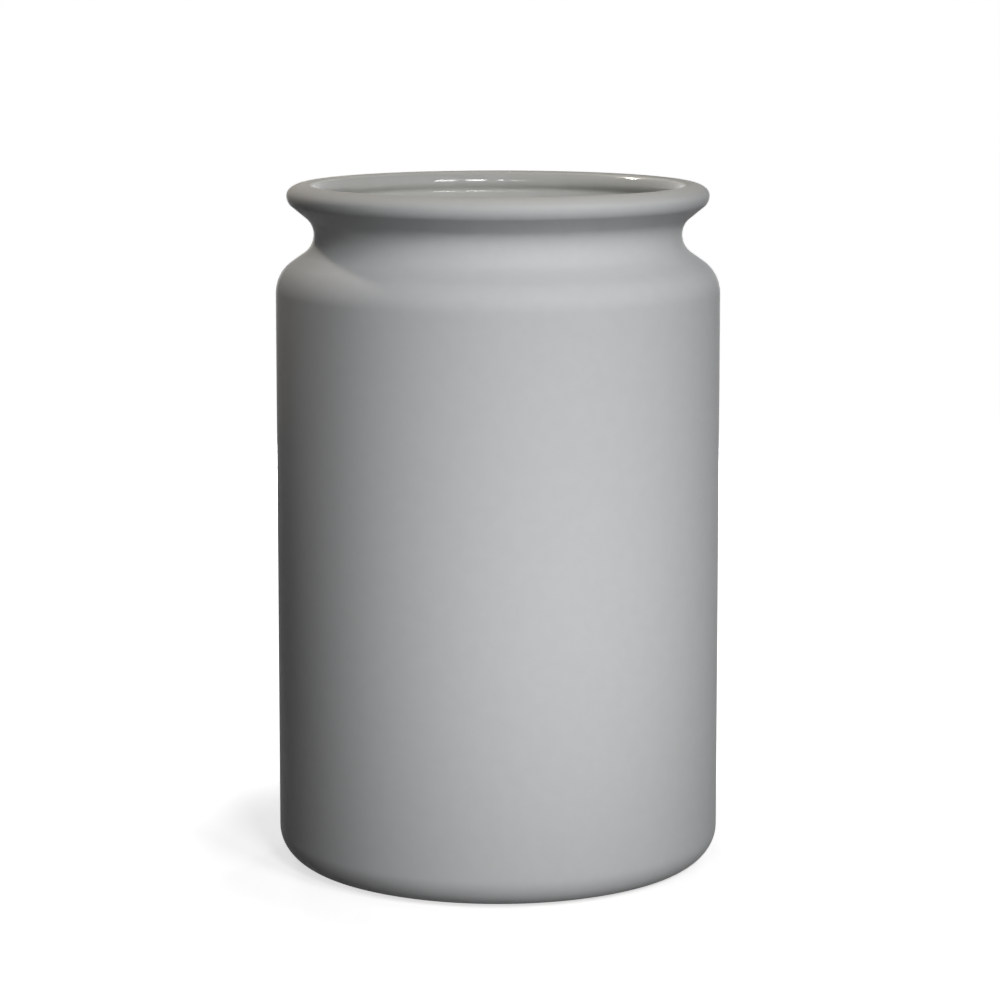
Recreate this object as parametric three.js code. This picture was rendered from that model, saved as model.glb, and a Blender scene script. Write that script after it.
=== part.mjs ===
// Plant pot: a round stoneware pot with a straight body, a waisted neck and a flared, rolled lip.
// It is one fired clay body under two glaze coats: a matt one outside and a glossy one inside.
// Millimetres, +Z up, origin at the centre of the foot, on the surface that the pot stands on.
import * as THREE from 'three';

// Finished sizes, measured over the glaze: the body is widest at its foot, by the wall's taper
const potHeight = 216;
const bodyRadius = 70;
const wallTaper = 0.6;
const footRound = 10;
const shoulderRound = 11;

// How far the neck is drawn in from the body, and the lip flares out again from the neck
const neckWaist = 12;
const neckLowerRound = 8;
const neckUpperRound = 6.7;
const lipFlare = 8.4;
const lipUndersideRound = 4.1;

// The lip, across from its widest point to its crest, and from the crest to the inner edge
const lipTopWidth = 5.8;
const lipRollWidth = 3.6;
const lipRollDepth = 4;

// The groove inside: how far back it is cut behind the inner edge, how far down it lies from there,
// and the rounds that lead into it and out of it to the neck
const grooveDepth = 0.8;
const grooveDrop = 2.2;
const rollUnderRound = 1.9;
const grooveRound = 1.5;
const innerNeckRound = 9;

// Depths below the rim, so that a taller pot keeps its neck and lip and grows in the wall
const lipDepth = 3.6;
const neckDepth = 15.6;
const shoulderDepth = 33.9;

// The clay wall and floor, with the glaze on them
const wallThickness = 5;
const floorThickness = 6;
const innerFootRound = 9;

// The bare foot: a flat ring that the pot stands on, and a shallow recess inside it
const footRingWidth = 8.6;
const recessDepth = 1.5;
const recessSlope = 2;

// The glaze: how thick a coat is, how high the outer one stops above the ground, and how far
// over the rim, as a turn from its crest, the matt coat reaches before the glossy one starts
const glazeThickness = 0.4;
const bareHeight = 1.2;
const mattOverRim = THREE.MathUtils.degToRad(25);

// Facets round the pot, and the largest turn of the outline from one facet to the next
const facetsRound = 48;
const outlineStep = THREE.MathUtils.degToRad(25);

// Heights and radii that follow from the sizes
const lipHeight = potHeight - lipDepth;
const rollHeight = potHeight - lipRollDepth;
const grooveHeight = rollHeight - grooveDrop;
const neckHeight = potHeight - neckDepth;
const shoulderHeight = potHeight - shoulderDepth;
const footRadius = bodyRadius + wallTaper;
const neckRadius = bodyRadius - neckWaist;
const lipRadius = neckRadius + lipFlare;
const crestRadius = lipRadius - lipTopWidth;
const rollRadius = crestRadius - lipRollWidth;
const grooveRadius = rollRadius + grooveDepth;
const innerNeckRadius = neckRadius - wallThickness;
const innerFootRadius = footRadius - wallThickness;
const ringOuterRadius = footRadius - footRound;
const ringInnerRadius = ringOuterRadius - footRingWidth;
const bareTurn = Math.acos(1 - bareHeight / footRound);

const quarterTurn = Math.PI / 2;
const halfTurn = Math.PI;

// A station is a point of the finished outline, with the direction that leads straight out of the pot
function station(x, z, outX, outZ) {
  return { at: new THREE.Vector2(x, z), out: new THREE.Vector2(outX, outZ).normalize() };
}

function stepsFor(turn) {
  return Math.max(1, Math.ceil(Math.abs(turn) / outlineStep));
}

// Part of an ellipse round (x, z), from one angle to another
function round(x, z, acrossRadius, upRadius, from, to) {
  const steps = stepsFor(to - from);
  const stations = [];
  for (let step = 0; step <= steps; step += 1) {
    const angle = from + (to - from) * step / steps;
    const across = Math.cos(angle);
    const up = Math.sin(angle);
    const at = [x + acrossRadius * across, z + upRadius * up];
    stations.push(station(...at, across / acrossRadius, up / upRadius));
  }
  return stations;
}

// A rising curve that leaves one radius upright and reaches another upright: a round, a straight
// slope and a round the other way. Where the rise is too short for both rounds, they shrink to fit.
function sweep(fromRadius, fromHeight, toRadius, toHeight, fromRound, toRound) {
  const rise = toHeight - fromHeight;
  const reach = Math.abs(toRadius - fromRadius);
  const side = Math.sign(toRadius - fromRadius);
  const room = (rise * rise + reach * reach) / (2 * reach);
  const fit = Math.min(1, room / (fromRound + toRound));
  const firstRound = fromRound * fit;
  const lastRound = toRound * fit;
  const rounds = firstRound + lastRound;
  const slopeLength = Math.sqrt(Math.max(0, rise * rise + reach * reach - 2 * rounds * reach));
  const turn = Math.atan2(rise, rounds - reach) - Math.atan2(slopeLength, rounds);
  const steps = stepsFor(turn);
  const stations = [];
  for (let step = 0; step <= steps; step += 1) {
    const angle = turn * step / steps;
    const x = fromRadius + side * firstRound * (1 - Math.cos(angle));
    const z = fromHeight + firstRound * Math.sin(angle);
    stations.push(station(x, z, Math.cos(angle), -side * Math.sin(angle)));
  }
  for (let step = steps; step >= 0; step -= 1) {
    const angle = turn * step / steps;
    const x = toRadius - side * lastRound * (1 - Math.cos(angle));
    const z = toHeight - lastRound * Math.sin(angle);
    stations.push(station(x, z, Math.cos(angle), -side * Math.sin(angle)));
  }
  return stations;
}

// The same stretch a given depth into the clay
function sunk(stations, depth) {
  return stations.map(({ at, out }) => station(at.x - out.x * depth, at.y - out.y * depth, out.x, out.y));
}

// A rising stretch as the inside of the pot has it: from the top down, and facing the axis
function fromInside(stations) {
  return stations.map(({ at, out }) => station(at.x, at.y, -out.x, -out.y)).reverse();
}

// Stretches that meet share a station, so all but the first of them start one station later
function joined(...stretches) {
  return stretches.flatMap((stretch, order) => (order === 0 ? stretch : stretch.slice(1)));
}

// The outside, from the foot ring up to the crest of the lip
const footLine = bareTurn - quarterTurn;
const bareFoot = round(ringOuterRadius, footRound, footRound, footRound, -quarterTurn, footLine);
const glazedFoot = round(ringOuterRadius, footRound, footRound, footRound, footLine, 0);
const shoulder = sweep(bodyRadius, shoulderHeight, neckRadius, neckHeight, shoulderRound, neckLowerRound);
const flare = sweep(neckRadius, neckHeight, lipRadius, lipHeight, neckUpperRound, lipUndersideRound);
const lipTop = round(crestRadius, lipHeight, lipRadius - crestRadius, lipDepth, 0, quarterTurn);

// The lip's inner roll, which the matt coat covers down to the glaze line
const glazeLine = quarterTurn + mattOverRim;
const mattRoll = round(crestRadius, rollHeight, lipRollWidth, lipRollDepth, quarterTurn, glazeLine);
const glossRoll = round(crestRadius, rollHeight, lipRollWidth, lipRollDepth, glazeLine, halfTurn);

// The inside, down to the middle of the floor: under the roll it is cut back to the groove and then
// slopes in to the neck, and the neck and shoulder run parallel to the outside, one wall's thickness in
const underRoll = fromInside(
  sweep(grooveRadius, grooveHeight, rollRadius, rollHeight, grooveRound, rollUnderRound),
);
const innerFlare = fromInside(
  sweep(innerNeckRadius, neckHeight, grooveRadius, grooveHeight, innerNeckRound, grooveRound),
);
const innerShoulder = fromInside(sunk(shoulder, wallThickness));
const innerFootX = innerFootRadius - innerFootRound;
const innerFootZ = floorThickness + innerFootRound;
const innerFoot = fromInside(round(innerFootX, innerFootZ, innerFootRound, innerFootRound, -quarterTurn, 0));
const floorCentre = station(0, floorThickness, 0, 1);

const mattOutline = joined([...glazedFoot, ...shoulder], flare, lipTop, mattRoll);
const glossInside = joined(glossRoll, underRoll, innerFlare, innerShoulder);
const glossOutline = [...glossInside, ...innerFoot, floorCentre];

// Turn an outline round the pot's axis
function turned(stations) {
  const geometry = new THREE.LatheGeometry(stations.map(({ at }) => at), facetsRound);
  geometry.rotateX(quarterTurn);
  return geometry;
}

// A coat of glaze has its clay side drawn in the clay's own direction, and then all its faces are
// turned round, so that the clay side has the very facets that it is fused to
function coatOf(stations) {
  const airSide = stations.toReversed();
  const claySide = sunk(stations, glazeThickness);
  const startsOnAxis = airSide[0].at.x === 0;
  const closing = startsOnAxis ? [] : [airSide[0]];
  const geometry = turned([...airSide, ...claySide, ...closing]);
  const faces = geometry.index.array;
  for (let corner = 0; corner < faces.length; corner += 3) {
    [faces[corner], faces[corner + 1]] = [faces[corner + 1], faces[corner]];
  }
  geometry.computeVertexNormals();
  return geometry;
}

// The fired clay: recessed underside, foot ring, outside, rim, inside and floor in one outline
function stonewareBody() {
  const underside = [
    station(0, recessDepth, 0, -1),
    station(ringInnerRadius - recessSlope, recessDepth, 0, -1),
    station(ringInnerRadius, 0, 0, -1),
    station(ringOuterRadius, 0, 0, -1),
  ];
  const surface = joined(bareFoot, mattOutline, glossOutline);
  const geometry = turned([...underside, ...sunk(surface, glazeThickness)]);
  const material = new THREE.MeshStandardMaterial({ color: 0xcdc4b4, roughness: 0.9, metalness: 0 });
  const body = new THREE.Mesh(geometry, material);
  body.name = 'stoneware_body';
  return body;
}

// The matt coat outside, from just above the bare foot to just over the rim
function outerMattGlaze() {
  const material = new THREE.MeshStandardMaterial({ color: 0xc2c3c5, roughness: 0.55, metalness: 0 });
  const coat = new THREE.Mesh(coatOf(mattOutline), material);
  coat.name = 'outer_matt_glaze';
  return coat;
}

// The glossy coat inside, from the rim down over the floor
function innerGlossGlaze() {
  const material = new THREE.MeshStandardMaterial({ color: 0xb9b9b4, roughness: 0.08, metalness: 0 });
  const coat = new THREE.Mesh(coatOf(glossOutline), material);
  coat.name = 'inner_gloss_glaze';
  return coat;
}

const pot = new THREE.Group();
pot.add(stonewareBody(), outerMattGlaze(), innerGlossGlaze());

export default pot;
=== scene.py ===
import math

import bmesh
import bpy
from mathutils import Matrix, Vector


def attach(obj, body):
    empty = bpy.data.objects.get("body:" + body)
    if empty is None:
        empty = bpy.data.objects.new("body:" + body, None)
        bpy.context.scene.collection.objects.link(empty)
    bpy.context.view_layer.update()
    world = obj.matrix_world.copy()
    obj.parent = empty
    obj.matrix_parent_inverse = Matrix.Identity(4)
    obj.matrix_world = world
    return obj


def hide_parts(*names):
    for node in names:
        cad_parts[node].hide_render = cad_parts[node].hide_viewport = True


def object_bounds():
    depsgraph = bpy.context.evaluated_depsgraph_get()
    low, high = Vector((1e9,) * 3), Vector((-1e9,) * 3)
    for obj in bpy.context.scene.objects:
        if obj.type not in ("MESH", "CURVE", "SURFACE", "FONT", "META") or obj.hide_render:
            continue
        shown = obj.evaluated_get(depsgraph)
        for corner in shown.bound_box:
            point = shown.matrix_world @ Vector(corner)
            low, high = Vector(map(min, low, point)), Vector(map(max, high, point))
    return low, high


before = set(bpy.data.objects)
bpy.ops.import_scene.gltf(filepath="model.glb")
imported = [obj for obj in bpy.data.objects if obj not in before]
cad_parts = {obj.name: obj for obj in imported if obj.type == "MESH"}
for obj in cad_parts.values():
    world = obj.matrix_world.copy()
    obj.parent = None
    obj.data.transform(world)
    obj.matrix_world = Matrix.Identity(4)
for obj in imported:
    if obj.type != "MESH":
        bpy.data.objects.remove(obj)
solid_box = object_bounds()

# The stoneware body: one wall of buff clay from the flat foot ring, up the outside, over the rolled
# lip and down the inside to the floor. It is fired under the two glazes, and only its foot stays bare.
foot_radius = solid_box[1][0]
pot_height = solid_box[1][2]
wall_taper = 0.0006
body_radius = foot_radius - wall_taper
foot_round = 0.010
shoulder_round = 0.011
neck_waist = 0.012
neck_lower_round = 0.008
neck_upper_round = 0.0067
lip_flare = 0.0084
lip_underside_round = 0.0041
lip_top_width = 0.0058
lip_roll_width = 0.0036
lip_roll_depth = 0.004
groove_depth = 0.0008
groove_drop = 0.0022
roll_under_round = 0.0019
groove_round = 0.0015
inner_neck_round = 0.009
lip_depth = 0.0036
neck_depth = 0.0156
shoulder_depth = 0.0339
wall_thickness = 0.005
floor_thickness = 0.006
inner_foot_round = 0.009
foot_ring_width = 0.0086
recess_depth = 0.0015
recess_slope = 0.002
ring_edge_round = 0.0003
glaze_thickness = 0.0004
bare_height = 0.0012

neck_radius = body_radius - neck_waist
lip_radius = neck_radius + lip_flare
crest_radius = lip_radius - lip_top_width
roll_radius = crest_radius - lip_roll_width
groove_radius = roll_radius + groove_depth
inner_neck_radius = neck_radius - wall_thickness
inner_foot_radius = foot_radius - wall_thickness
ring_outer_radius = foot_radius - foot_round
ring_inner_radius = ring_outer_radius - foot_ring_width
lip_height = pot_height - lip_depth
roll_height = pot_height - lip_roll_depth
groove_height = roll_height - groove_drop
neck_height = pot_height - neck_depth
shoulder_height = pot_height - shoulder_depth
inner_foot_height = floor_thickness + inner_foot_round

quarter_turn = math.pi / 2
bare_turn = math.acos(1 - bare_height / foot_round)
matt_over_rim = math.radians(25)
outline_step = math.radians(4)
segments_round = 192
edge_segments = 4
merge_distance = 0.000001
sharp_angle = math.radians(50)


def straight(outline, tip, radius, height):
    """Carry the outline on from its tip, straight to a radius and a height."""
    end = bmesh.ops.extrude_vert_indiv(outline, verts=[tip])["verts"][0]
    end.co = (radius, 0, height)
    return end


def rounded(outline, tip, radius, height, turn, narrowed=1.0, flattened=1.0):
    """Carry it on in a round about a centre, anticlockwise where the turn is positive."""
    from_centre = Matrix.Translation((-radius, 0, -height))
    bmesh.ops.scale(outline, vec=(1 / narrowed, 1, 1 / flattened), space=from_centre, verts=[tip])
    drawn_before = len(outline.verts)
    steps = max(2, math.ceil(abs(turn) / outline_step))
    bmesh.ops.spin(
        outline, geom=[tip], cent=(radius, 0, height), axis=(0, -1, 0), angle=turn, steps=steps
    )
    outline.verts.ensure_lookup_table()
    drawn = outline.verts[drawn_before:]
    bmesh.ops.scale(outline, vec=(narrowed, 1, flattened), space=from_centre, verts=[tip, *drawn])
    return drawn[-1]


def s_bend(outline, tip, heading, side, rise, reach, first, last):
    """Carry it on in a round, a slope and a round the other way, back to the same heading."""
    (first_radius, first_height, first_round), (last_radius, last_height, last_round) = first, last
    rounds = first_round + last_round
    slope = math.sqrt(rise * rise + reach * reach - 2 * rounds * reach)
    turn = side * (math.atan2(rise, rounds - reach) - math.atan2(slope, rounds))
    tip = rounded(outline, tip, first_radius, first_height, turn)
    across = math.cos(heading + turn) * slope
    up = math.sin(heading + turn) * slope
    tip = straight(outline, tip, tip.co.x + across, tip.co.z + up)
    return rounded(outline, tip, last_radius, last_height, -turn)


def eased(outline, corner, size):
    """Ease a corner of the outline, as a sponge does on damp clay and the heat does on glaze."""
    bmesh.ops.bevel(
        outline, geom=[corner], offset=size, offset_type="OFFSET", affect="VERTICES",
        segments=edge_segments, profile=0.5, material=-1,
    )


def outside(outline, tip, under):
    """The outline from the foot's glaze line to the crest's, at a depth under the finished glaze."""
    tip = rounded(outline, tip, ring_outer_radius, foot_round, quarter_turn - bare_turn)
    tip = straight(outline, tip, body_radius - under, shoulder_height)
    tip = s_bend(
        outline, tip, quarter_turn, 1, neck_height - shoulder_height, neck_waist,
        (body_radius - shoulder_round, shoulder_height, shoulder_round),
        (neck_radius + neck_lower_round, neck_height, neck_lower_round),
    )
    tip = s_bend(
        outline, tip, quarter_turn, -1, lip_height - neck_height, lip_flare,
        (neck_radius + neck_upper_round, neck_height, neck_upper_round),
        (lip_radius - lip_underside_round, lip_height, lip_underside_round),
    )
    flattened = (lip_depth - under) / (lip_top_width - under)
    tip = rounded(outline, tip, crest_radius, lip_height, quarter_turn, flattened=flattened)
    narrowed = (lip_roll_width - under) / (lip_roll_depth - under)
    return rounded(outline, tip, crest_radius, roll_height, matt_over_rim, narrowed=narrowed)


def inside(outline, tip, under):
    """The outline from the crest's glaze line, down the inside and over the floor to the axis."""
    narrowed = (lip_roll_width - under) / (lip_roll_depth - under)
    rest_of_roll = quarter_turn - matt_over_rim
    tip = rounded(outline, tip, crest_radius, roll_height, rest_of_roll, narrowed=narrowed)
    tip = s_bend(
        outline, tip, -quarter_turn, 1, groove_drop, groove_depth,
        (roll_radius + roll_under_round, roll_height, roll_under_round),
        (groove_radius - groove_round, groove_height, groove_round),
    )
    groove_reach = groove_radius - inner_neck_radius
    tip = s_bend(
        outline, tip, -quarter_turn, -1, groove_height - neck_height, groove_reach,
        (groove_radius - groove_round, groove_height, groove_round),
        (inner_neck_radius + inner_neck_round, neck_height, inner_neck_round),
    )
    tip = s_bend(
        outline, tip, -quarter_turn, 1, neck_height - shoulder_height, neck_waist,
        (neck_radius + neck_lower_round, neck_height, neck_lower_round + wall_thickness),
        (body_radius - shoulder_round, shoulder_height, shoulder_round - wall_thickness),
    )
    tip = straight(outline, tip, inner_foot_radius + under, inner_foot_height)
    round_radius = inner_foot_radius - inner_foot_round
    tip = rounded(outline, tip, round_radius, inner_foot_height, -quarter_turn)
    return straight(outline, tip, 0, floor_thickness - under)


def thrown(outline, name, material, node):
    """Turn an outline about the pot's axis into a finished piece of the pot."""
    bmesh.ops.spin(
        outline, geom=[*outline.verts, *outline.edges], cent=(0, 0, 0), axis=(0, 0, 1),
        angle=math.tau, steps=segments_round, use_merge=True,
    )
    bmesh.ops.remove_doubles(outline, verts=outline.verts, dist=merge_distance)
    bmesh.ops.recalc_face_normals(outline, faces=outline.faces)
    for face in outline.faces:
        face.smooth = True
    mesh = bpy.data.meshes.new(name)
    outline.to_mesh(mesh)
    outline.free()
    mesh.set_sharp_from_angle(angle=sharp_angle)
    mesh.materials.append(material)
    piece = bpy.data.objects.new(name, mesh)
    bpy.context.scene.collection.objects.link(piece)
    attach(piece, "root")
    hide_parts(node)


def added(tree, kind, inputs, **settings):
    """Add a node to a material, with each input set to a value or joined to another node's socket."""
    node = tree.nodes.new(kind)
    for setting, value in settings.items():
        setattr(node, setting, value)
    for socket, value in inputs.items():
        if isinstance(value, bpy.types.NodeSocket):
            tree.links.new(value, node.inputs[socket])
        else:
            node.inputs[socket].default_value = value
    return node


def fired_material(name):
    """A new material, with its nodes and its shader."""
    material = bpy.data.materials.new(name)
    material.use_nodes = True
    return material, material.node_tree, material.node_tree.nodes["Principled BSDF"]


# The Mix node's colour sockets, which share their names with its number sockets
colour_a = 6
colour_b = 7
colour_mixed = 2

clay_pale = (0.62, 0.55, 0.44, 1)
clay_warm = (0.50, 0.42, 0.32, 1)
grog_dark = (0.20, 0.15, 0.11, 1)
grog_pale = (0.72, 0.68, 0.60, 1)
clay_patches_per_metre = 70.0
grog_grains_per_metre = 620.0
grog_grain_edge = 0.26
grog_grain_core = 0.16
clay_smoothest = 0.82
clay_roughest = 0.96
wiping_rings_per_metre = 260.0
clay_grains_per_metre = 1500.0
clay_wave_height = 0.00005

clay, clay_tree, clay_shader = fired_material("bare stoneware")
clay_place = added(clay_tree, "ShaderNodeTexCoord", {}).outputs["Object"]
clay_patches = added(
    clay_tree, "ShaderNodeTexNoise",
    {"Vector": clay_place, "Scale": clay_patches_per_metre, "Detail": 4.0, "Roughness": 0.6},
)
clay_tone = added(
    clay_tree, "ShaderNodeMix",
    {0: clay_patches.outputs["Fac"], colour_a: clay_pale, colour_b: clay_warm}, data_type="RGBA",
)
grog_grains = added(
    clay_tree, "ShaderNodeTexVoronoi", {"Vector": clay_place, "Scale": grog_grains_per_metre},
)
grog_mask = added(
    clay_tree, "ShaderNodeMapRange",
    {
        "Value": grog_grains.outputs["Distance"], "From Min": grog_grain_edge,
        "From Max": grog_grain_core,
    },
)
grog_tone = added(
    clay_tree, "ShaderNodeMix",
    {0: grog_grains.outputs["Color"], colour_a: grog_dark, colour_b: grog_pale}, data_type="RGBA",
)
clay_colour = added(
    clay_tree, "ShaderNodeMix",
    {
        0: grog_mask.outputs["Result"], colour_a: clay_tone.outputs[colour_mixed],
        colour_b: grog_tone.outputs[colour_mixed],
    },
    data_type="RGBA",
)
clay_roughness = added(
    clay_tree, "ShaderNodeMapRange",
    {
        "Value": clay_patches.outputs["Fac"], "To Min": clay_smoothest,
        "To Max": clay_roughest,
    },
)
wiping_rings = added(
    clay_tree, "ShaderNodeTexWave",
    {
        "Vector": clay_place, "Scale": wiping_rings_per_metre, "Distortion": 1.5, "Detail": 2.0,
        "Detail Scale": 0.2,
    },
    wave_type="RINGS", rings_direction="Z",
)
clay_grain = added(
    clay_tree, "ShaderNodeTexNoise",
    {"Vector": clay_place, "Scale": clay_grains_per_metre, "Detail": 3.0},
)
clay_height = added(
    clay_tree, "ShaderNodeMath",
    {0: wiping_rings.outputs["Fac"], 1: clay_grain.outputs["Fac"]}, operation="ADD",
)
clay_bump = added(
    clay_tree, "ShaderNodeBump",
    {"Height": clay_height.outputs["Value"], "Distance": clay_wave_height},
)
clay_tree.links.new(clay_colour.outputs[colour_mixed], clay_shader.inputs["Base Color"])
clay_tree.links.new(clay_roughness.outputs["Result"], clay_shader.inputs["Roughness"])
clay_tree.links.new(clay_bump.outputs["Normal"], clay_shader.inputs["Normal"])

clay_outline = bmesh.new()
clay_tip = clay_outline.verts.new((0, 0, recess_depth))
clay_tip = straight(clay_outline, clay_tip, ring_inner_radius - recess_slope, recess_depth)
recess_corner = clay_tip
clay_tip = straight(clay_outline, clay_tip, ring_inner_radius, 0)
inner_corner = clay_tip
clay_tip = straight(clay_outline, clay_tip, ring_outer_radius, 0)
outer_corner = clay_tip
clay_tip = straight(clay_outline, clay_tip, ring_outer_radius, glaze_thickness)
clay_tip = rounded(clay_outline, clay_tip, ring_outer_radius, foot_round, bare_turn)
clay_tip = outside(clay_outline, clay_tip, glaze_thickness)
inside(clay_outline, clay_tip, glaze_thickness)
for corner in (recess_corner, inner_corner, outer_corner):
    eased(clay_outline, corner, ring_edge_round)
thrown(clay_outline, "thrown_stoneware", clay, "stoneware_body")

# The outer glaze: a smooth matt grey coat, poured over the upturned pot and wiped off just above the
# foot. It runs over the lip to just inside the crest. On the lip's top its grey is warmer and a little
# darker: partly the thinner glaze there, and partly painted warm light that falls on the top of the
# lip.
glaze_line_round = 0.0003

matt_grey = (0.564, 0.569, 0.577, 1)
matt_grey_pooled = (0.556, 0.561, 0.568, 1)
# The lip's top: partly thinner glaze, partly painted warm light from above
matt_grey_thin_and_painted_warm = (0.535, 0.530, 0.515, 1)
matt_wave_height = 0.000016
matt_specular = 0.08
thin_and_painted_warm_depth = 0.001
pool_edge = 0.35
pool_core = 0.65

# What the two glazes share: soft patches where the glaze has pooled, with a fine peel over them
glaze_surface = bpy.data.node_groups.new("glaze surface", "ShaderNodeTree")
for socket, kind in (
    ("Colour", "NodeSocketColor"), ("Pooled Colour", "NodeSocketColor"),
    ("Roughness", "NodeSocketFloat"), ("Roughness Change", "NodeSocketFloat"),
    ("Patches per Metre", "NodeSocketFloat"),
    ("Peel per Metre", "NodeSocketFloat"), ("Peel Share", "NodeSocketFloat"),
):
    glaze_surface.interface.new_socket(socket, in_out="INPUT", socket_type=kind)
for socket, kind in (
    ("Colour", "NodeSocketColor"), ("Roughness", "NodeSocketFloat"), ("Height", "NodeSocketFloat"),
):
    glaze_surface.interface.new_socket(socket, in_out="OUTPUT", socket_type=kind)
given = added(glaze_surface, "NodeGroupInput", {}).outputs
glaze_place = added(glaze_surface, "ShaderNodeTexCoord", {}).outputs["Object"]
glaze_patches = added(
    glaze_surface, "ShaderNodeTexNoise",
    {"Vector": glaze_place, "Scale": given["Patches per Metre"], "Detail": 2.0},
)
pooled_mask = added(
    glaze_surface, "ShaderNodeMapRange",
    {"Value": glaze_patches.outputs["Fac"], "From Min": pool_edge, "From Max": pool_core},
    interpolation_type="SMOOTHSTEP",
)
pooled_colour = added(
    glaze_surface, "ShaderNodeMix",
    {
        0: pooled_mask.outputs["Result"], colour_a: given["Colour"],
        colour_b: given["Pooled Colour"],
    },
    data_type="RGBA",
)
patchy_roughness = added(
    glaze_surface, "ShaderNodeMath",
    {0: glaze_patches.outputs["Fac"], 1: given["Roughness Change"], 2: given["Roughness"]},
    operation="MULTIPLY_ADD",
)
glaze_peel = added(
    glaze_surface, "ShaderNodeTexNoise",
    {"Vector": glaze_place, "Scale": given["Peel per Metre"], "Detail": 1.0},
)
glaze_height = added(
    glaze_surface, "ShaderNodeMath",
    {
        0: glaze_peel.outputs["Fac"], 1: given["Peel Share"], 2: glaze_patches.outputs["Fac"],
    },
    operation="MULTIPLY_ADD",
)
added(
    glaze_surface, "NodeGroupOutput",
    {
        "Colour": pooled_colour.outputs[colour_mixed],
        "Roughness": patchy_roughness.outputs["Value"], "Height": glaze_height.outputs["Value"],
    },
)


def glaze_material(name, wave_height, inputs):
    """A material with the glaze surface in it, its bump joined and its colour still to be joined."""
    material, tree, shader = fired_material(name)
    surface = added(tree, "ShaderNodeGroup", {}, node_tree=glaze_surface)
    for socket, value in inputs.items():
        surface.inputs[socket].default_value = value
    bump = added(
        tree, "ShaderNodeBump", {"Height": surface.outputs["Height"], "Distance": wave_height},
    )
    tree.links.new(surface.outputs["Roughness"], shader.inputs["Roughness"])
    tree.links.new(bump.outputs["Normal"], shader.inputs["Normal"])
    return material, tree, shader, surface


def height_up_the_pot(tree):
    """How high up the pot a point of the surface lies."""
    place = added(tree, "ShaderNodeTexCoord", {}).outputs["Object"]
    return added(tree, "ShaderNodeSeparateXYZ", {"Vector": place}).outputs["Z"]


matt, matt_tree, matt_shader, matt_surface = glaze_material(
    "matt grey glaze", matt_wave_height,
    {
        "Colour": matt_grey, "Pooled Colour": matt_grey_pooled, "Roughness": 0.64,
        "Roughness Change": 0.08, "Patches per Metre": 230.0, "Peel per Metre": 1300.0,
        "Peel Share": 0.08,
    },
)
matt_shader.inputs["Specular IOR Level"].default_value = matt_specular
thin_and_painted_warm_mask = added(
    matt_tree, "ShaderNodeMapRange",
    {
        "Value": height_up_the_pot(matt_tree), "From Min": lip_height - thin_and_painted_warm_depth,
        "From Max": pot_height,
    },
    interpolation_type="SMOOTHSTEP",
)
# Warmer, darker grey over the lip's top: partly thinner glaze, partly painted warm light
matt_colour = added(
    matt_tree, "ShaderNodeMix",
    {
        0: thin_and_painted_warm_mask.outputs["Result"], colour_a: matt_surface.outputs["Colour"],
        colour_b: matt_grey_thin_and_painted_warm,
    },
    data_type="RGBA",
)
matt_tree.links.new(matt_colour.outputs[colour_mixed], matt_shader.inputs["Base Color"])


def glaze_coat(name, material, node, first_air, first_clay, stretch, eased_start):
    """Draw a coat's air side and clay side along a stretch of the pot, close its ends and turn it."""
    coat = bmesh.new()
    air_tip = coat.verts.new(first_air)
    clay_side_tip = coat.verts.new(first_clay)
    coat.edges.new((air_tip, clay_side_tip))
    last_air = stretch(coat, air_tip, 0)
    last_clay = stretch(coat, clay_side_tip, glaze_thickness)
    ends_on_axis = last_air.co.x <= merge_distance
    if not ends_on_axis:
        coat.edges.new((last_air, last_clay))
    if eased_start:
        eased(coat, air_tip, glaze_line_round)
    thrown(coat, name, material, node)


def foot_line(under):
    """Where the outer glaze starts at the foot, at a depth under its surface."""
    reach = foot_round - under
    angle = bare_turn - quarter_turn
    return (ring_outer_radius + reach * math.cos(angle), 0, foot_round + reach * math.sin(angle))


def crest_line(under):
    """Where the two glazes meet just inside the crest, at a depth under their surface."""
    angle = quarter_turn + matt_over_rim
    across = (lip_roll_width - under) * math.cos(angle)
    up = (lip_roll_depth - under) * math.sin(angle)
    return (crest_radius + across, 0, roll_height + up)


glaze_coat(
    "matt_glaze_coat", matt, "outer_matt_glaze",
    foot_line(0), foot_line(glaze_thickness), outside, eased_start=True,
)

# The inner glaze: a glossy coat of a warmer grey, swilled round the inside so that the pot holds
# water. It starts at the inner edge of the lip, where it melts into the matt coat over a narrow band,
# and covers the neck, the wall and the floor.
gloss_grey = (0.545, 0.545, 0.525, 1)
gloss_grey_pooled = (0.530, 0.530, 0.508, 1)
gloss_wave_height = 0.00001
gloss_specular = 0.45
melt_depth = 0.0010
melt_roughness = 0.5
glaze_line_height = pot_height + (math.cos(matt_over_rim) - 1) * lip_roll_depth

gloss, gloss_tree, gloss_shader, gloss_surface = glaze_material(
    "gloss grey glaze", gloss_wave_height,
    {
        "Colour": gloss_grey, "Pooled Colour": gloss_grey_pooled, "Roughness": 0.02,
        "Roughness Change": 0.03, "Patches per Metre": 150.0, "Peel per Metre": 900.0,
        "Peel Share": 0.1,
    },
)
gloss_shader.inputs["Specular IOR Level"].default_value = gloss_specular
gloss_tree.links.new(gloss_surface.outputs["Colour"], gloss_shader.inputs["Base Color"])
melt_mask = added(
    gloss_tree, "ShaderNodeMapRange",
    {
        "Value": height_up_the_pot(gloss_tree), "From Min": glaze_line_height - melt_depth,
        "From Max": glaze_line_height, "To Max": melt_roughness,
    },
    interpolation_type="SMOOTHSTEP",
)
melted_roughness = added(
    gloss_tree, "ShaderNodeMath",
    {0: gloss_surface.outputs["Roughness"], 1: melt_mask.outputs["Result"]}, operation="ADD",
)
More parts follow.
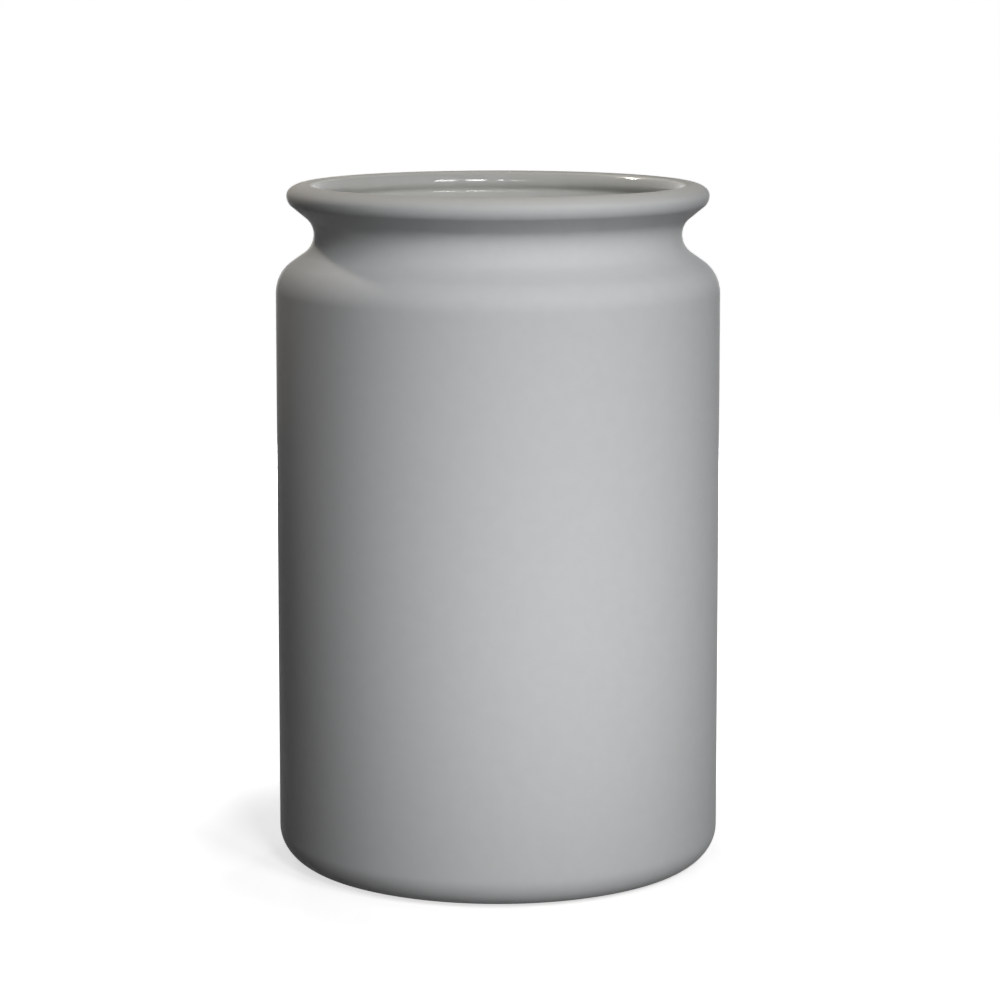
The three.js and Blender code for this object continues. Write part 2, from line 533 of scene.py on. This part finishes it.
gloss_tree.links.new(melted_roughness.outputs["Value"], gloss_shader.inputs["Roughness"])

glaze_coat(
    "gloss_glaze_coat", gloss, "inner_gloss_glaze",
    crest_line(0), crest_line(glaze_thickness), inside, eased_start=False,
)

# The floor and the room: a plain white sheet in an open white room. The sheet keeps the pot's shadow
# and fades to plain white away from it, and the room lights the pot only faintly, a little warm.
floor_size = 8.0
shadow_start = 0.085
shadow_end = 0.14
floor_glow = 0.66
plain_white = (1, 1, 1, 1)
plain_white_strength = 1.0
sheet_pale = (0.8, 0.8, 0.8, 1)
sheet_dim = (0.05, 0.05, 0.05, 1)
room_dim_warm = (1.0, 0.9, 0.75, 1)
room_dim_strength = 0.01

floor_mesh = bmesh.new()
bmesh.ops.create_grid(floor_mesh, x_segments=1, y_segments=1, size=floor_size / 2)
floor_data = bpy.data.meshes.new("floor")
floor_mesh.to_mesh(floor_data)
floor_mesh.free()
sheet = bpy.data.materials.new("white sheet")
sheet.use_nodes = True
sheet_tree = sheet.node_tree
sheet_tree.nodes.clear()


def seen_directly(tree):
    """Whether a ray comes from the camera, or by way of a gloss or a glass."""
    light_path = added(tree, "ShaderNodeLightPath", {}).outputs
    seen = added(
        tree, "ShaderNodeMath",
        {0: light_path["Is Camera Ray"], 1: light_path["Is Glossy Ray"]}, operation="MAXIMUM",
    )
    return added(
        tree, "ShaderNodeMath",
        {0: seen.outputs["Value"], 1: light_path["Is Transmission Ray"]}, operation="MAXIMUM",
    ).outputs["Value"]


sheet_place = added(sheet_tree, "ShaderNodeTexCoord", {}).outputs["Object"]
sheet_reach = added(
    sheet_tree, "ShaderNodeVectorMath", {0: sheet_place}, operation="LENGTH",
)
sheet_glow = added(
    sheet_tree, "ShaderNodeMapRange",
    {
        "Value": sheet_reach.outputs["Value"], "From Min": shadow_start, "From Max": shadow_end,
        "To Min": floor_glow, "To Max": plain_white_strength,
    },
    interpolation_type="SMOOTHSTEP",
)
sheet_light = added(
    sheet_tree, "ShaderNodeEmission", {"Strength": sheet_glow.outputs["Result"]},
)
sheet_lit = added(sheet_tree, "ShaderNodeBsdfDiffuse", {"Color": sheet_pale})
sheet_white = added(
    sheet_tree, "ShaderNodeAddShader",
    {0: sheet_light.outputs["Emission"], 1: sheet_lit.outputs["BSDF"]},
)
sheet_dark = added(sheet_tree, "ShaderNodeBsdfDiffuse", {"Color": sheet_dim})
sheet_seen = added(
    sheet_tree, "ShaderNodeMixShader",
    {0: seen_directly(sheet_tree), 1: sheet_dark.outputs["BSDF"], 2: sheet_white.outputs["Shader"]},
)
added(sheet_tree, "ShaderNodeOutputMaterial", {"Surface": sheet_seen.outputs["Shader"]})
floor_data.materials.append(sheet)
floor = bpy.data.objects.new("floor", floor_data)
bpy.context.scene.collection.objects.link(floor)

room = bpy.data.worlds.new("white room")
bpy.context.scene.world = room
room.use_nodes = True
room_tree = room.node_tree
room_tree.nodes.clear()
room_dim = added(
    room_tree, "ShaderNodeBackground", {"Color": room_dim_warm, "Strength": room_dim_strength},
)
room_white = added(
    room_tree, "ShaderNodeBackground", {"Color": plain_white, "Strength": plain_white_strength},
)
room_seen = added(
    room_tree, "ShaderNodeMixShader",
    {
        0: seen_directly(room_tree), 1: room_dim.outputs["Background"],
        2: room_white.outputs["Background"],
    },
)
added(room_tree, "ShaderNodeOutputWorld", {"Surface": room_seen.outputs["Shader"]})

# The lamps: one soft key in four panels, from the front and a little to the right, with a low fill, a
# narrow warm lamp behind the left shoulder and two for the back, which graze the sides as well. Those
# two stay below the rim, because the gloss inside would show them as white dots.
def lamp(
    name, azimuth, elevation, distance, width, up_size, watts, colour, spread=180, height=0.11,
):
    """A flat lamp that faces the pot's axis: azimuth from the front towards the right, in degrees."""
    data = bpy.data.lights.new(name, "AREA")
    data.shape = "RECTANGLE"
    data.size = width
    data.size_y = up_size
    data.energy = watts
    data.color = colour
    data.spread = math.radians(spread)
    around = math.radians(azimuth)
    up = math.radians(elevation)
    level = math.cos(up)
    towards = Vector((math.sin(around) * level, -math.cos(around) * level, math.sin(up)))
    placed = bpy.data.objects.new(name, data)
    placed.location = Vector((0, 0, height)) + towards * distance
    placed.rotation_euler = towards.to_track_quat("Z", "Y").to_euler()
    bpy.context.scene.collection.objects.link(placed)


neutral = (0.99, 1.0, 1.0)
warm = (1.0, 0.92, 0.80)
key_elevation = 29
key_distance = 0.9
key_watts_per_degree = 0.0082
key_spread = 36

# Each panel of the key: its left and right edges in degrees, its height and its share of the brightness
for panel, (left, right, panel_height, share) in enumerate((
    (-18.7, -9.0, 0.08, 0.22), (-3.9, 0.0, 0.12, 0.60), (8.4, 22.0, 0.22, 1.25),
    (29.0, 45.0, 0.20, 0.93),
)):
    panel_width = 2 * key_distance * math.tan(math.radians(right - left) / 2)
    panel_width *= math.cos(math.radians(key_elevation))
    lamp(
        f"key_{panel}", (left + right) / 2, key_elevation, key_distance, panel_width, panel_height,
        key_watts_per_degree * (right - left) * share, neutral, spread=key_spread,
    )
lamp(
    "low_fill", azimuth=20, elevation=4, distance=0.5, width=0.15, up_size=0.15, watts=0.038,
    colour=neutral, spread=40, height=0.03,
)
lamp(
    "behind_left", azimuth=-132, elevation=44, distance=0.9, width=0.10, up_size=0.04, watts=0.025,
    colour=warm, spread=12, height=0.20,
)
for side, azimuth in (("left", -165), ("right", 165)):
    lamp(
        f"back_{side}", azimuth, elevation=2, distance=0.9, width=0.10, up_size=0.10, watts=2.2,
        colour=neutral,
    )

# The camera: almost a metre in front of the pot and a little above its rim, looking slightly down, as
# in the photo.
camera_lens = 112.58
camera_sensor_width = 36.0
camera_place = (0.00063, -0.9842, 0.2836)
camera_tilt_down = 0.1696

camera_data = bpy.data.cameras.new("camera")
camera_data.lens = camera_lens
camera_data.sensor_width = camera_sensor_width
camera = bpy.data.objects.new("camera", camera_data)
camera.location = camera_place
camera.rotation_euler = (quarter_turn - camera_tilt_down, 0, 0)
bpy.context.scene.collection.objects.link(camera)
bpy.context.scene.camera = camera
bpy.context.scene.view_settings.view_transform = "Standard"
